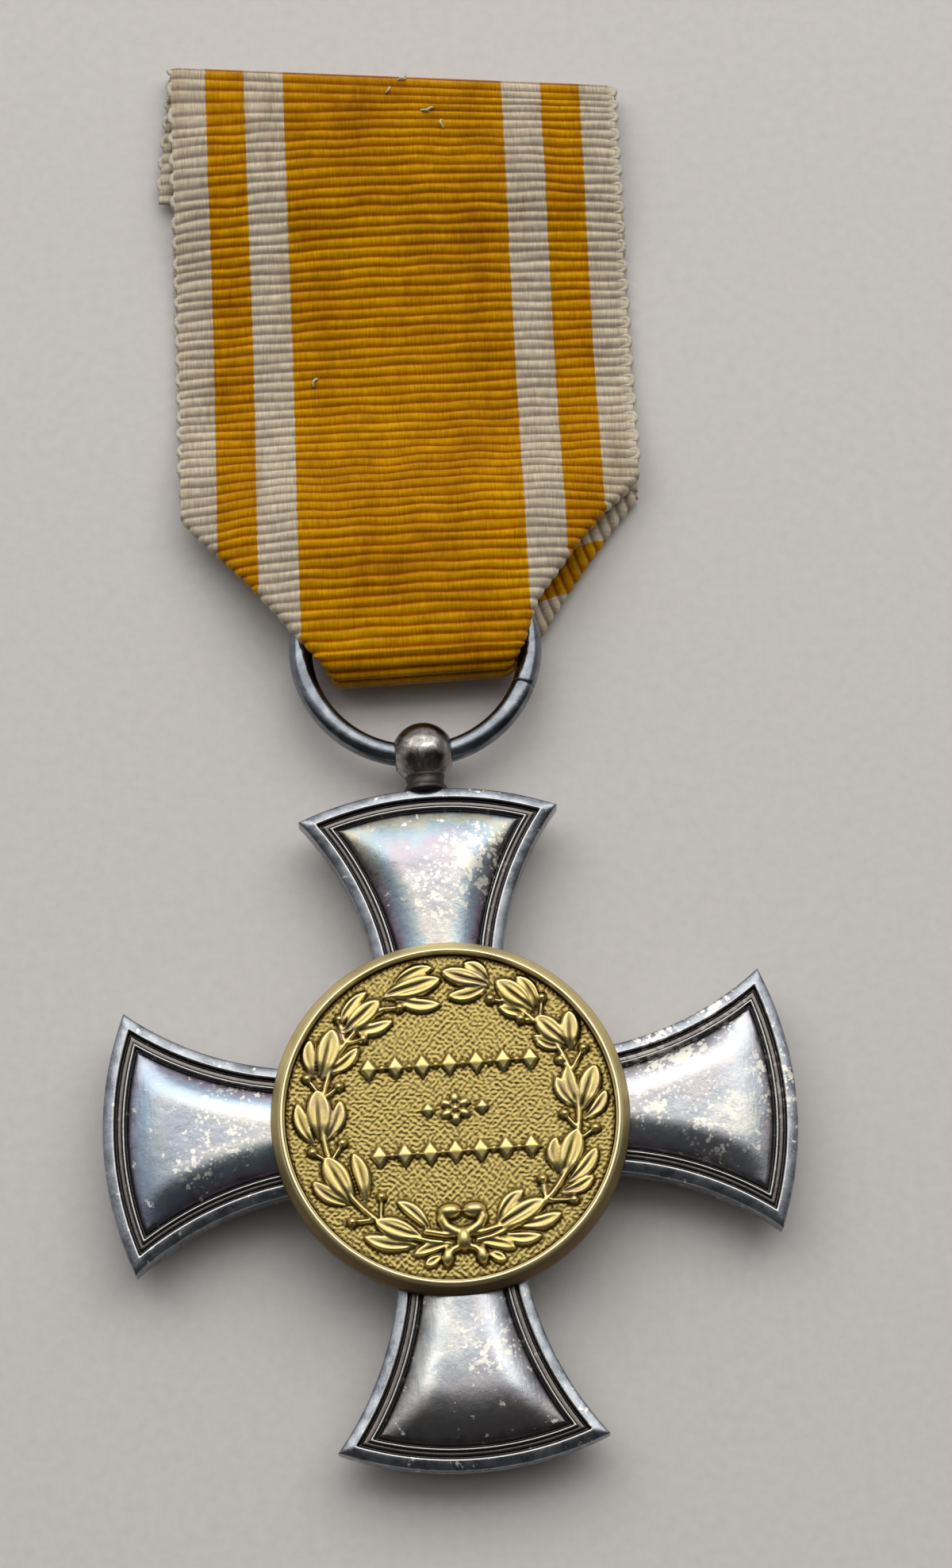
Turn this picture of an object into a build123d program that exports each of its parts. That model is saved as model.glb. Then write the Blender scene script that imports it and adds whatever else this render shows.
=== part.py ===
from build123d import *
import os
from math import cos, radians, sin, sqrt

# Merit cross on a folded ribbon, lying face up on its back medallion.
# Millimetres, +Z up, +Y from the cross towards the ribbon, origin at the middle of the back face.

# ---- driving dimensions ----
cross_radius = 20.0           # tip to centre, the cross is 40 mm across
arm_corner_angle = 22.5       # half the angle that one arm's end spans
arm_waist = (5.17, 14.45)     # a point on the hollow side of an arm
arm_root = (3.74, 9.6)        # where an arm goes in under the medallion
hub_half = 3.65               # half width of an arm inside the medallion
mid_plane = 2.5               # height of the seam between the two shells
rim_thickness = 1.0           # each shell's edge, from the seam to its flat rim
rim_width = 0.7               # flat rim round each arm
ledge_inset = 1.4             # where the pillow starts, from the arm's edge
ledge_depth = 0.3             # step from the flat rim down to the ledge
pillow_lower = (0.75, 32.0)   # height and draft of the steep part of a pillow
pillow_upper = (0.55, 66.0)   # height and draft of its crown

medallion_radius = 10.3
field_radius = 9.45
back_medallion_radius = 9.3   # the back one is a little smaller, so it can't be seen from the front
back_field_radius = 8.5
bezel_height = 1.5
bezel_edge_height = 0.8
ridge_width = 0.2
field_thickness = 0.9
back_field_thickness = 1.5
relief_height = 0.3
rivet_radius = 1.0
rivet_bite = 0.4              # how far the rivet enters each medallion

wreath_radius = 7.4
leaf_half = (1.3, 0.42)
leaf_stations = 5             # clusters of leaves on each branch
branch_start = -68.0          # angle of the first cluster, from +X
branch_step = 31.0
leaf_fan = 38.0               # how far the outer leaves of a cluster lean from the middle one
leaf_spread = 0.72            # how far they stand to each side of it
rosette_radius = 1.5
rosette_petals = 5

ball_radius = 1.82
ball_reach = 22.4             # ball centre from the middle of the cross
ball_bore = 0.87
foot_radius = 1.2
peg_radius = 0.45
peg_depth = 1.1

ring_radius = 6.9             # to the middle of the wire
wire_radius = 0.7
wire_offset = 0.105           # the bent wire sits this far below the bore's axis in the middle
seam_angle = -24.0
seam_gap = 0.12
lie_angle = 2.5               # the ring and the ribbon's loop slope down from the ball

layer = 0.8                   # one thickness of ribbon with its ribs
loop_gap = 1.7                # between the loop's front and back layers
loop_bottom = 4.7             # the bottom fold, from the ball's centre
loop_slot_end = 17.0
bend_reach = 18.7             # the line where the ribbon bends, from the ball's centre
bend_gap = 0.15
bend_taper = 1.0
blade = 0.15                  # half thickness where the two stretches meet
ribbon_half = 0.8             # half thickness of the flat stretch
ribbon_top_mid = 0.82         # height of its middle at the top fold
# the ribbon's outline seen from above, from the ball's centre, going round from the bottom fold
neck_left, neck_right = -4.6, 5.0
waist_left, waist_right = -5.0, 5.35
shoulder_left = (-7.25, 8.5)
shoulder_right = (7.4, 9.4)
wing_left = (-13.55, 17.0)
wing_right = (14.3, 16.5)
edge_left, edge_right = -13.75, 15.05
top_left = (-13.0, 46.6)
top_right = (14.7, 43.8)

thread_radius = 0.12
thread_spots = [(1.8, 45.0), (0.8, 43.6), (3.3, 41.9), (4.0, 41.0), (-5.1, 23.6)]
thread_length = 0.9

fold_radius = layer + loop_gap / 2
rim_top = mid_plane + rim_thickness
half_gap = loop_gap / 2
ribbon_end = ball_reach + top_left[1] + 1.0   # just past the top fold


def arm_outline(inset=0.0):
    """The cross seen from above: four arms with hollow sides and ends on one circle."""
    corner = (
        cross_radius * sin(radians(arm_corner_angle)),
        cross_radius * cos(radians(arm_corner_angle)),
    )

    def left(point):
        return (-point[0], point[1])

    with BuildSketch() as outline:
        with BuildLine():
            Line((0, 0), (hub_half, hub_half))
            Line((hub_half, hub_half), arm_root)
            ThreePointArc(arm_root, arm_waist, corner)
            ThreePointArc(corner, (0, cross_radius), left(corner))
            ThreePointArc(left(corner), left(arm_waist), left(arm_root))
            Line(left(arm_root), (-hub_half, hub_half))
            Line((-hub_half, hub_half), (0, 0))
        make_face()
    arm = outline.sketch
    whole = arm
    for turn in (90, 180, 270):
        whole += arm.rotate(Axis.Z, turn)
    if inset:
        whole = offset(whole, amount=-inset, kind=Kind.INTERSECTION)
    return whole


def pillow(inset, base, shrink=0.0):
    """The raised middle of the arms: a steep skirt and a flatter crown."""
    low, draft = pillow_lower
    high, crown = pillow_upper
    skirt = extrude(arm_outline(inset + shrink).moved(Location((0, 0, base))), low, taper=draft)
    top = skirt.faces().sort_by(Axis.Z)[-1]
    return skirt + extrude(top, high, dir=(0, 0, 1), taper=crown)


def front_shell():
    """One struck half of the cross, hollow behind, with a flat seat for its medallion."""
    plate = extrude(arm_outline(), rim_thickness)
    ledge_height = rim_thickness - ledge_depth
    ledge = extrude(arm_outline(rim_width).moved(Location((0, 0, ledge_height))), ledge_depth)
    seat = Cylinder(medallion_radius, rim_thickness, align=(Align.CENTER, Align.CENTER, Align.MIN))
    domes = pillow(ledge_inset, ledge_height - 0.05)
    above_seat = Cylinder(medallion_radius + 0.05, 5, align=(Align.CENTER, Align.CENTER, Align.MIN))
    domes -= above_seat
    shell = plate - (ledge - seat) + domes
    hollow_height = rim_thickness - ledge_depth - 0.3
    hollow = extrude(arm_outline(ledge_inset), hollow_height)
    dome_hollow = pillow(ledge_inset, 0.1, shrink=0.35) - above_seat
    shell -= hollow
    shell -= dome_hollow
    shell -= Cylinder(rivet_radius, 10)
    peg = Rot(-90, 0, 0) * Cylinder(peg_radius, 2 * peg_depth)
    shell -= Pos(0, cross_radius, 0) * peg
    return Pos(0, 0, mid_plane) * shell


def bezel(radius, opening):
    """The turned collar round a medallion: a ridge inside and a slope down to the edge."""
    with BuildSketch(Plane.XZ) as profile:
        Polygon(
            (opening, 0),
            (radius, 0),
            (radius, bezel_edge_height),
            (opening + ridge_width, bezel_height),
            (opening, bezel_height),
            align=None,
        )
    return revolve(profile.sketch, Axis.Z)


def leaf(radius, angle, lean, side):
    """One laurel leaf on the wreath, pointing along the branch."""
    shape = extrude(Ellipse(*leaf_half), relief_height)
    shape = Pos(radius + side, 0, 0) * Rot(0, 0, 90 + lean) * shape
    return shape.rotate(Axis.Z, angle)


def front_medallion():
    """The struck disc: a wreath of two branches, a rosette and two rows of small lozenges."""
    disc = Cylinder(field_radius, field_thickness, align=(Align.CENTER, Align.CENTER, Align.MIN))
    relief = []
    for station in range(leaf_stations):
        angle = branch_start + station * branch_step
        for lean, side in ((0, 0), (-leaf_fan, leaf_spread), (leaf_fan, -leaf_spread)):
            right = leaf(wreath_radius, angle, lean, side)
            relief += [right, right.mirror(Plane.YZ)]
    for petal in range(rosette_petals):
        shape = extrude(Ellipse(0.5, 0.32), relief_height)
        relief.append((Pos(0.75, 0, 0) * shape).rotate(Axis.Z, 90 + petal * 360 / rosette_petals))
    lozenge = extrude(Rot(0, 0, 45) * Rectangle(0.75, 0.75), relief_height)
    for row in (3.0, -2.1):
        for step in range(-2, 3):
            relief.append(Pos(step * 1.9, row, 0) * lozenge)
    knot = extrude(Ellipse(1.2, 0.6), relief_height)
    relief.append(Pos(0, -7.0, 0) * knot)
    raised = [Pos(0, 0, field_thickness) * shape for shape in relief]
    socket = Cylinder(rivet_radius, rivet_bite, align=(Align.CENTER, Align.CENTER, Align.MIN))
    return Pos(0, 0, rim_top) * ((disc + raised) - socket)


def back_medallion():
    """The plain back disc, flat because the cross lies on it."""
    disc = Cylinder(back_field_radius, back_field_thickness, align=(Align.CENTER, Align.CENTER, Align.MIN))
    low_edge = disc.edges().filter_by(GeomType.CIRCLE).sort_by(Axis.Z)[0]
    disc = chamfer(low_edge, 0.15)
    socket = Cylinder(rivet_radius, rivet_bite, align=(Align.CENTER, Align.CENTER, Align.MAX))
    return disc - Pos(0, 0, back_field_thickness) * socket


def rivet():
    """The pin through the hub that holds both medallions to the shells."""
    return Pos(0, 0, mid_plane) * Cylinder(rivet_radius, 2 * (rim_thickness + rivet_bite))


def ball_frame(angle=0.0):
    """A frame at the ball's centre, sloping down towards the ribbon by an angle."""
    return Pos(0, ball_reach, mid_plane) * Rot(-angle, 0, 0)


def ball():
    """The drilled ball that the ring hangs in."""
    sphere = Sphere(ball_radius) - Rot(0, 90, 0) * Cylinder(ball_bore, 2 * ball_radius)
    return ball_frame() * sphere


def ball_foot():
    """The short neck under the ball, with a peg soldered between the shells."""
    reach = ball_reach - cross_radius
    neck = Pos(0, cross_radius + reach / 2 - 0.1, mid_plane) * Rot(90, 0, 0) * Cylinder(foot_radius, reach)
    neck -= ball_frame() * Sphere(ball_radius)
    neck -= Pos(0, ball_reach + ball_radius, mid_plane) * Box(5, 2 * ball_radius, 5)
    neck -= Cylinder(cross_radius, 10)
    peg = Pos(0, cross_radius, mid_plane) * Rot(90, 0, 0) * Cylinder(peg_radius, 2 * peg_depth)
    peg &= Cylinder(cross_radius, 10)
    return neck + peg


def ring():
    """A ring of round wire, butted at a seam."""
    wire = Torus(ring_radius, wire_radius)
    cut = Pos(ring_radius, 0, 0) * Box(4, seam_gap, 4)
    wire -= cut.rotate(Axis.Z, seam_angle)
    return ball_frame(lie_angle) * Pos(0, ring_radius - wire_offset, 0) * wire


def ribbon_lower():
    """The loop round the ring, with its folded shoulders, up to the line where the ribbon bends."""
    with BuildSketch() as plan:
        Polygon(
            (neck_left, loop_bottom),
            (neck_right, loop_bottom),
            (waist_right, loop_bottom + fold_radius),
            shoulder_right,
            wing_right,
            (edge_right, bend_reach),
            (edge_left, bend_reach),
            wing_left,
            shoulder_left,
            (waist_left, loop_bottom + fold_radius),
            align=None,
        )
    with BuildSketch(Plane.YZ) as side:
        with Locations((loop_bottom + fold_radius, 0)):
            Circle(fold_radius)
        Polygon(
            (loop_bottom + fold_radius, fold_radius),
            (loop_slot_end - 0.6, fold_radius),
            (bend_reach - bend_taper, ribbon_half),
            (bend_reach - bend_gap, blade),
            (bend_reach - bend_gap, -blade),
            (bend_reach - bend_taper, -ribbon_half),
            (loop_slot_end - 0.6, -fold_radius),
            (loop_bottom + fold_radius, -fold_radius),
            align=None,
        )
        with Locations((loop_bottom + fold_radius, 0)):
            Circle(half_gap, mode=Mode.SUBTRACT)
        with Locations(((loop_bottom + fold_radius + loop_slot_end) / 2, 0)):
            Rectangle(loop_slot_end - loop_bottom - fold_radius, loop_gap, mode=Mode.SUBTRACT)
    sheet = extrude(side.sketch, 20, both=True) & extrude(plan.sketch, 5, both=True)
    return ball_frame(lie_angle) * sheet


def bend_point():
    """The middle of the line where the ribbon bends: its reach and height."""
    drop = radians(lie_angle)
    return ball_reach + bend_reach * cos(drop), mid_plane - bend_reach * sin(drop)


def ribbon_upper():
    """The flat doubled stretch above the bend, with its slanted top fold."""
    bend_y, bend_z = bend_point()
    with BuildSketch() as plan:
        Polygon(
            (edge_left, bend_y),
            (edge_right, bend_y),
            (top_right[0], ball_reach + top_right[1]),
            (top_left[0], ball_reach + top_left[1]),
            align=None,
        )
    with BuildSketch(Plane.YZ) as side:
        Polygon(
            (bend_y + bend_gap, bend_z + blade),
            (bend_y + bend_gap, bend_z - blade),
            (bend_y + bend_taper, bend_z - ribbon_half),
            (ribbon_end, ribbon_top_mid - ribbon_half),
            (ribbon_end, ribbon_top_mid + ribbon_half),
            (bend_y + bend_taper, bend_z + ribbon_half),
            align=None,
        )
    return extrude(side.sketch, 20, both=True) & extrude(plan.sketch, 6)


def stitch(spot):
    """A short end of sewing thread left standing on the ribbon."""
    bend_y, bend_z = bend_point()
    y = ball_reach + spot[1]
    share = (y - bend_y) / (ribbon_end - bend_y)
    surface = bend_z + (ribbon_top_mid - bend_z) * share + ribbon_half
    thread = Rot(0, 90, 0) * Cylinder(thread_radius, thread_length)
    return Pos(spot[0], y, surface + thread_radius) * thread


def upside_down(shape):
    """The same shape turned over about the seam between the shells."""
    return shape.mirror(Plane.XY.offset(mid_plane))


front_collar = Pos(0, 0, rim_top) * bezel(medallion_radius, field_radius)
back_collar = upside_down(Pos(0, 0, rim_top) * bezel(back_medallion_radius, back_field_radius))
nodes = {
    "cross_front_shell": front_shell(),
    "cross_back_shell": upside_down(front_shell()),
    "front_medallion": front_medallion(),
    "front_bezel": front_collar,
    "back_medallion": back_medallion(),
    "back_bezel": back_collar,
    "centre_rivet": rivet(),
    "suspension_foot": ball_foot(),
    "suspension_ball": ball(),
    "suspension_ring": ring(),
    "ribbon_lower": ribbon_lower(),
    "ribbon_upper": ribbon_upper(),
    "ribbon_threads": Compound([stitch(spot) for spot in thread_spots]),
}

os.makedirs("parts", exist_ok=True)
for name, shape in nodes.items():
    export_step(shape, f"parts/{name}.step")
    box = shape.bounding_box()
    print(f"{name}: {len(shape.solids())} solid(s), {shape.volume:.2f} mm3, {box.min} to {box.max}")
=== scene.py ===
import math

import bpy
import numpy as np
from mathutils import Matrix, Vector


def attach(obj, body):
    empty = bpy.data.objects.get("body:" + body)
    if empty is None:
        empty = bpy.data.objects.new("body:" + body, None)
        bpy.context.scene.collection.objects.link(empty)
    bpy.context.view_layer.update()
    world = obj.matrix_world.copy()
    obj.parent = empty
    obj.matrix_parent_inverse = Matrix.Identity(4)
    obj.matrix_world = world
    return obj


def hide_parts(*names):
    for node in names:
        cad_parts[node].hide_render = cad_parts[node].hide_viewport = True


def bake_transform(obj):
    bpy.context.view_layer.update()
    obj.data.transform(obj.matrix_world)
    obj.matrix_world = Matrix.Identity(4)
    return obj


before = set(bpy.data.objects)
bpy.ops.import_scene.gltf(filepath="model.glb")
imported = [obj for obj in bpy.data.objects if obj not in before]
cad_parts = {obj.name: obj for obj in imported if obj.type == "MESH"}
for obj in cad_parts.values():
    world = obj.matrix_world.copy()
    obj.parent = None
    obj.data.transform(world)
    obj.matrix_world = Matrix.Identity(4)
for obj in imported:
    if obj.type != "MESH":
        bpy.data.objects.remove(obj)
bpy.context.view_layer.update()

MM = 0.001

# ---- sizes shared by the pieces, in millimetres ----
CROSS_RADIUS = 20.0
CORNER_ANGLE = math.radians(22.5)   # half the angle that an arm's end spans
WAIST = (5.17, 14.45)         # a point on the hollow side of an arm
ROOT = (3.74, 9.6)            # where an arm goes in under the medallion
HUB_HALF = 3.65               # half width of the arms where they meet
MID_PLANE = 2.5               # height of the seam between the cross's halves
RIM_TOP = 3.5                 # height of the arms' flat rim
BEZEL_RADIUS = 10.3
FIELD_RADIUS = 9.45
BACK_STEP = 1.0               # how much smaller the back medallion and its collar are
FIELD_TOP = 4.45              # height of the medallion's ground

BALL_Y = 22.4                 # the ball's centre, from the middle of the cross
BALL_RADIUS = 1.87
BORE_RADIUS = 0.82
RING_RADIUS = 6.9             # to the middle of the wire
WIRE_RADIUS = 0.7
WIRE_OFFSET = 0.105           # how far the bent wire sits below the bore's axis
SEAM_ANGLE = math.radians(-24.0)
LIE = math.radians(2.5)       # how far the ring slopes down from the ball

RIB = 0.66                    # pitch of the ribbon's ribs
ROWS_PER_RIB = 5
HALF_WIDTH = 14.0             # of the ribbon
STRIPES = (6.9, 9.35, 11.8)   # where the stripes change colour, from the ribbon's middle


# ---- mesh helpers ----

def new_object(name, verts, faces, smooth=True):
    """A mesh object from points in millimetres."""
    mesh = bpy.data.meshes.new(name)
    points = np.asarray(verts, float) * MM
    mesh.from_pydata(points.tolist(), [], [tuple(f) for f in faces])
    mesh.validate()
    if smooth:
        mesh.polygons.foreach_set("use_smooth", [True] * len(mesh.polygons))
    mesh.update()
    obj = bpy.data.objects.new(name, mesh)
    bpy.context.scene.collection.objects.link(obj)
    return obj


def add_values(obj, name, values):
    """A number for each vertex, which the materials read by name."""
    layer = obj.data.attributes.new(name, "FLOAT", "POINT")
    layer.data.foreach_set("value", np.asarray(values, np.float32).ravel())


def grid_faces(rows, cols, start=0, wrap_rows=False, wrap_cols=False):
    """Quads of a grid whose vertices are stored row by row."""
    i = np.arange(rows if wrap_rows else rows - 1)[:, None]
    j = np.arange(cols if wrap_cols else cols - 1)[None, :]
    a = i * cols + j
    b = i * cols + (j + 1) % cols
    c = ((i + 1) % rows) * cols + (j + 1) % cols
    d = ((i + 1) % rows) * cols + j
    return (np.stack(np.broadcast_arrays(a, b, c, d), -1).reshape(-1, 4) + start).tolist()


def border_loop(rows, cols):
    """The outermost vertices of such a grid, in order round it."""
    loop = list(range(cols)) + [i * cols + cols - 1 for i in range(1, rows)]
    loop += [(rows - 1) * cols + j for j in range(cols - 2, -1, -1)]
    return loop + [i * cols for i in range(rows - 2, 0, -1)]


def flipped(faces):
    return [face[::-1] for face in faces]


def facing(verts, faces, up):
    """A front piece as it is where up is 1, and turned over to the back where up is -1."""
    if up < 0:
        verts[:, 2] = 2 * MID_PLANE - verts[:, 2]
        faces = flipped(faces)
    return verts, faces


def quarter_turned(points, quarters):
    """Points turned clockwise about Z."""
    angle = -quarters * math.pi / 2
    c, s = math.cos(angle), math.sin(angle)
    return points @ np.array([[c, s, 0], [-s, c, 0], [0, 0, 1]])


def lathe(profile, segments):
    """A closed profile of (radius, height) points turned about Z."""
    ring = np.asarray(profile, float)
    turns = np.linspace(0, 2 * math.pi, segments, endpoint=False)
    x = np.cos(turns)[:, None] * ring[:, 0]
    y = np.sin(turns)[:, None] * ring[:, 0]
    z = np.broadcast_to(ring[:, 1], x.shape)
    verts = np.stack([x, y, z], -1).reshape(-1, 3)
    return verts, grid_faces(segments, len(ring), wrap_rows=True, wrap_cols=True)


def tube(path, radius, sides):
    """A closed tube along a path of points. radius may be one number or one for each point."""
    path = np.asarray(path, float)
    radius = np.broadcast_to(radius, len(path))
    along = np.gradient(path, axis=0)
    along /= np.linalg.norm(along, axis=1)[:, None]
    up = np.array([0.0, 0.0, 1.0])
    if abs(along[0] @ up) > 0.9:
        up = np.array([1.0, 0.0, 0.0])
    side = np.cross(along, up)
    side /= np.linalg.norm(side, axis=1)[:, None]
    lift = np.cross(side, along)
    turns = np.linspace(0, 2 * math.pi, sides, endpoint=False)
    circle = np.cos(turns)[None, :, None] * side[:, None] + np.sin(turns)[None, :, None] * lift[:, None]
    verts = (path[:, None] + circle * radius[:, None, None]).reshape(-1, 3)
    faces = grid_faces(len(path), sides, wrap_cols=True)
    faces.append(list(range(sides))[::-1])
    faces.append([len(verts) - sides + k for k in range(sides)])
    return verts, faces


def join(parts):
    """Several (verts, faces) in one."""
    verts, faces, start = [], [], 0
    for v, f in parts:
        verts.append(np.asarray(v, float))
        faces += [[k + start for k in face] for face in f]
        start += len(v)
    return np.concatenate(verts), faces


def smoothstep(x, low, high):
    """0 below low, 1 above high, and a smooth slope between."""
    t = np.clip((np.asarray(x, float) - low) / (high - low), 0, 1)
    return t * t * (3 - 2 * t)


def hump(x, up_from, up_to, down_from, down_to):
    """0, then 1 from up_to to down_from, then 0 again."""
    return smoothstep(x, up_from, up_to) * (1 - smoothstep(x, down_from, down_to))


def waves(x, y, seed, size, count=6):
    """A smooth bumpy field between about -1 and 1, with bumps of about the size given."""
    rng = np.random.default_rng(seed)
    total = 0.0
    for _ in range(count):
        turn = rng.uniform(0, 2 * math.pi)
        pitch = size * rng.uniform(0.7, 1.5)
        phase = rng.uniform(0, 2 * math.pi)
        total = total + np.sin((x * math.cos(turn) + y * math.sin(turn)) * 2 * math.pi / pitch + phase)
    return total / math.sqrt(count)


# ---- the cross ----

def circle_through(a, b, c):
    """Centre and radius of the circle through three points."""
    a, b, c = (np.array(p, float) for p in (a, b, c))
    rows = 2 * np.array([b - a, c - a])
    centre = np.linalg.solve(rows, [b @ b - a @ a, c @ c - a @ a])
    return centre, float(np.linalg.norm(a - centre))


CORNER = (CROSS_RADIUS * math.sin(CORNER_ANGLE), CROSS_RADIUS * math.cos(CORNER_ANGLE))
SIDE_CENTRE, SIDE_RADIUS = circle_through(CORNER, WAIST, ROOT)

# distance in from the arm's edge, and height there, from the rim's bevel to the foot of the pillow
BORDER = [
    (0.0, 3.2), (0.05, 3.29), (0.12, 3.34), (0.35, 3.43), (0.56, 3.5), (0.62, 3.5), (0.68, 3.42), (0.72, 3.2),
    (0.8, 3.18), (0.86, 3.27), (0.98, 3.29), (1.08, 3.27), (1.13, 3.36), (1.2, 3.4), (1.26, 3.36),
    (1.31, 3.16), (1.38, 3.14),
]
PILLOW_START = 1.42
PILLOW_FOOT = 3.2
PILLOW_STEP = 0.16             # the short upright foot of the pillow
PILLOW_RISE = 0.88
PILLOW_SKIRT = (1.9, 3.2)      # how far the sides and the outer end take to level off
PILLOW_REACH = 8.7             # how far it runs in, to just under the medallion
WALL = ((3.0, 0.0), (2.56, 0.0), (2.52, 0.03), (2.5, 0.05))   # height and distance in, down an arm's edge


def side_angle(r, inset):
    """Angle from the arm's axis to its side, moved in by inset, at radius r."""
    reach = float(np.hypot(*SIDE_CENTRE))
    lean = math.atan2(SIDE_CENTRE[0], SIDE_CENTRE[1])
    cosine = (r * r + reach**2 - (SIDE_RADIUS + inset) ** 2) / (2 * r * reach)
    return lean - np.arccos(np.clip(cosine, -1, 1))


def pillow_height(from_side, from_end):
    """Height of the raised middle of an arm."""
    a = np.clip((from_side - PILLOW_START) / PILLOW_SKIRT[0], 0, 1)
    b = np.clip((from_end - PILLOW_START) / PILLOW_SKIRT[1], 0, 1)
    rise = (1 - (1 - a) ** 1.8) * (1 - (1 - b) ** 1.8)
    step = smoothstep(np.minimum(from_side, from_end) - PILLOW_START, 0.0, 0.14)
    fade = 1 - 0.12 * smoothstep(from_end, 5.5, 10.0)
    return PILLOW_FOOT + (PILLOW_STEP * step + PILLOW_RISE * rise) * fade


def arm_surface():
    """The top of one arm towards +Y, with each point's distance from the arm's side and from its end."""
    border_in, border_z = np.array(BORDER).T
    spread = np.sin(np.linspace(-1, 1, 37) * math.pi / 2)
    ends = np.concatenate([border_in, PILLOW_START + PILLOW_REACH * np.linspace(0, 1, 40) ** 1.35])
    radii = CROSS_RADIUS - ends
    inset = np.concatenate([border_in, np.full(len(spread), PILLOW_START), border_in[::-1]])
    share = np.concatenate([-np.ones(len(border_in)), spread, np.ones(len(border_in))])
    angle = np.array([side_angle(r, inset) * share for r in radii])
    x, y = radii[:, None] * np.sin(angle), radii[:, None] * np.cos(angle)
    near = np.hypot(np.abs(x) - SIDE_CENTRE[0], y - SIDE_CENTRE[1]) - SIDE_RADIUS
    end = np.broadcast_to(ends[:, None], x.shape)
    edge = np.minimum(near, end)
    on_border = edge < PILLOW_START - 0.005
    z = np.where(on_border, np.interp(edge, border_in, border_z), pillow_height(near, end))
    return np.stack([x, y, z], -1), near, end


def arm_wall(top):
    """The wall under an arm's two sides and its end, closed at the seam."""
    edge = np.concatenate([top[::-1, 0], top[0, 1:], top[1:, -1]])
    out = edge[:, :2] / np.linalg.norm(edge[:, :2], axis=1)[:, None]
    rings = [edge]
    for height, step in WALL:
        ring = edge.copy()
        ring[:, :2] -= out * step
        ring[:, 2] = height
        rings.append(ring)
    centre_line = rings[-1].copy()
    centre_line[:, 0] *= 0.2
    centre_line[:, 1] = np.minimum(centre_line[:, 1], 17.0)
    rings.append(centre_line)
    return np.concatenate(rings), grid_faces(len(rings), len(edge))


def hub():
    """The middle between the medallions, where the arms' roots meet."""
    root = np.array([(-HUB_HALF, HUB_HALF, 0), (-ROOT[0], ROOT[1], 0), (ROOT[0], ROOT[1], 0)])
    outline = np.concatenate([quarter_turned(root, k) for k in range(4)])
    count = len(outline)
    verts = np.concatenate([outline + (0, 0, RIM_TOP - 0.02), outline + (0, 0, MID_PLANE)])
    faces = [list(range(count))[::-1], [count + k for k in range(count)]]
    faces += [[k, (k + 1) % count, count + (k + 1) % count, count + k] for k in range(count)]
    return verts, faces


def cross_half(name, up):
    """One half of the cross. up is 1 for the front and -1 for the back."""
    top, near, end = arm_surface()
    wall, wall_faces = arm_wall(top)
    arm, arm_faces = join([(top.reshape(-1, 3), flipped(grid_faces(*top.shape[:2]))), (wall, wall_faces)])
    middle, middle_faces = hub()
    parts = [(quarter_turned(arm, k), arm_faces) for k in range(4)] + [(middle, middle_faces)]
    obj = new_object(name, *facing(*join(parts), up))
    for key, distance in (("from_side", near), ("from_end", end)):
        one_arm = np.concatenate([distance.ravel(), np.zeros(len(wall))])
        add_values(obj, key, np.concatenate([np.tile(one_arm, 4), np.zeros(len(middle))]))
    return obj


# ---- the medallions ----

class Relief:
    """A struck surface: shapes are raised on a ground, the highest wins at each point."""

    def __init__(self, x, y):
        self.x, self.y = x, y
        self.height = np.zeros_like(x)

    def raise_to(self, h):
        """Raise the ground to the heights given, where they are above it."""
        self.height = np.maximum(self.height, h)

    def leaf(self, root, tip, half, height, bend=0.0):
        """A laurel leaf with a vein and a fold, half being its half width."""
        root, tip = np.array(root, float), np.array(tip, float)
        d = tip - root
        length = float(np.hypot(*d))
        a = ((self.x - root[0]) * d[0] + (self.y - root[1]) * d[1]) / length**2
        b = ((self.y - root[1]) * d[0] - (self.x - root[0]) * d[1]) / length
        inside = (a > 0) & (a < 1)
        a = np.clip(a, 1e-4, 1 - 1e-4)
        b = b - bend * 4 * a * (1 - a)
        width = 1.25 * half * np.sin(math.pi * a**1.3) ** 0.6
        across = np.clip(np.abs(b) / width, 0, 1)
        body = (1 - across**5) ** 0.5 * (0.72 + 0.2 * across**2) * (0.5 + 0.5 * smoothstep(a, 0.0, 0.35))
        vein = 0.3 * np.exp(-(((b - 0.12 * half) / 0.06) ** 2)) * (1 - smoothstep(a, 0.5, 0.95))
        fold = 0.16 * np.exp(-(((b / width + 0.45) / 0.12) ** 2)) * smoothstep(a, 0.15, 0.4) * (1 - a)
        h = height * (body - vein - fold)
        self.raise_to(np.where(inside & (across < 1), h, 0))

    def stroke(self, points, half, height):
        """A rounded ridge along a line of points."""
        points = np.asarray(points, float)
        for p, q in zip(points[:-1], points[1:]):
            d = q - p
            a = np.clip(((self.x - p[0]) * d[0] + (self.y - p[1]) * d[1]) / (d @ d), 0, 1)
            dist = np.hypot(self.x - p[0] - a * d[0], self.y - p[1] - a * d[1])
            self.raise_to(height * np.sqrt(np.clip(1 - (dist / half) ** 2, 0, 1)))

    def dome(self, centre, half, height, turn=0.0):
        """An oval dome, half being its two half widths."""
        c, s = math.cos(turn), math.sin(turn)
        dx, dy = self.x - centre[0], self.y - centre[1]
        a = (dx * c + dy * s) / half[0]
        b = (-dx * s + dy * c) / half[1]
        self.raise_to(height * np.sqrt(np.clip(1 - a * a - b * b, 0, 1)))

    def lozenge(self, centre, half, height):
        """A small four-sided block with a pyramid on top."""
        d = np.abs(self.x - centre[0]) / half[0] + np.abs(self.y - centre[1]) / half[1]
        self.raise_to(height * (0.6 * np.clip((1 - d) / 0.14, 0, 1) + 0.4 * np.clip(1 - d, 0, 1)))


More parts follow.
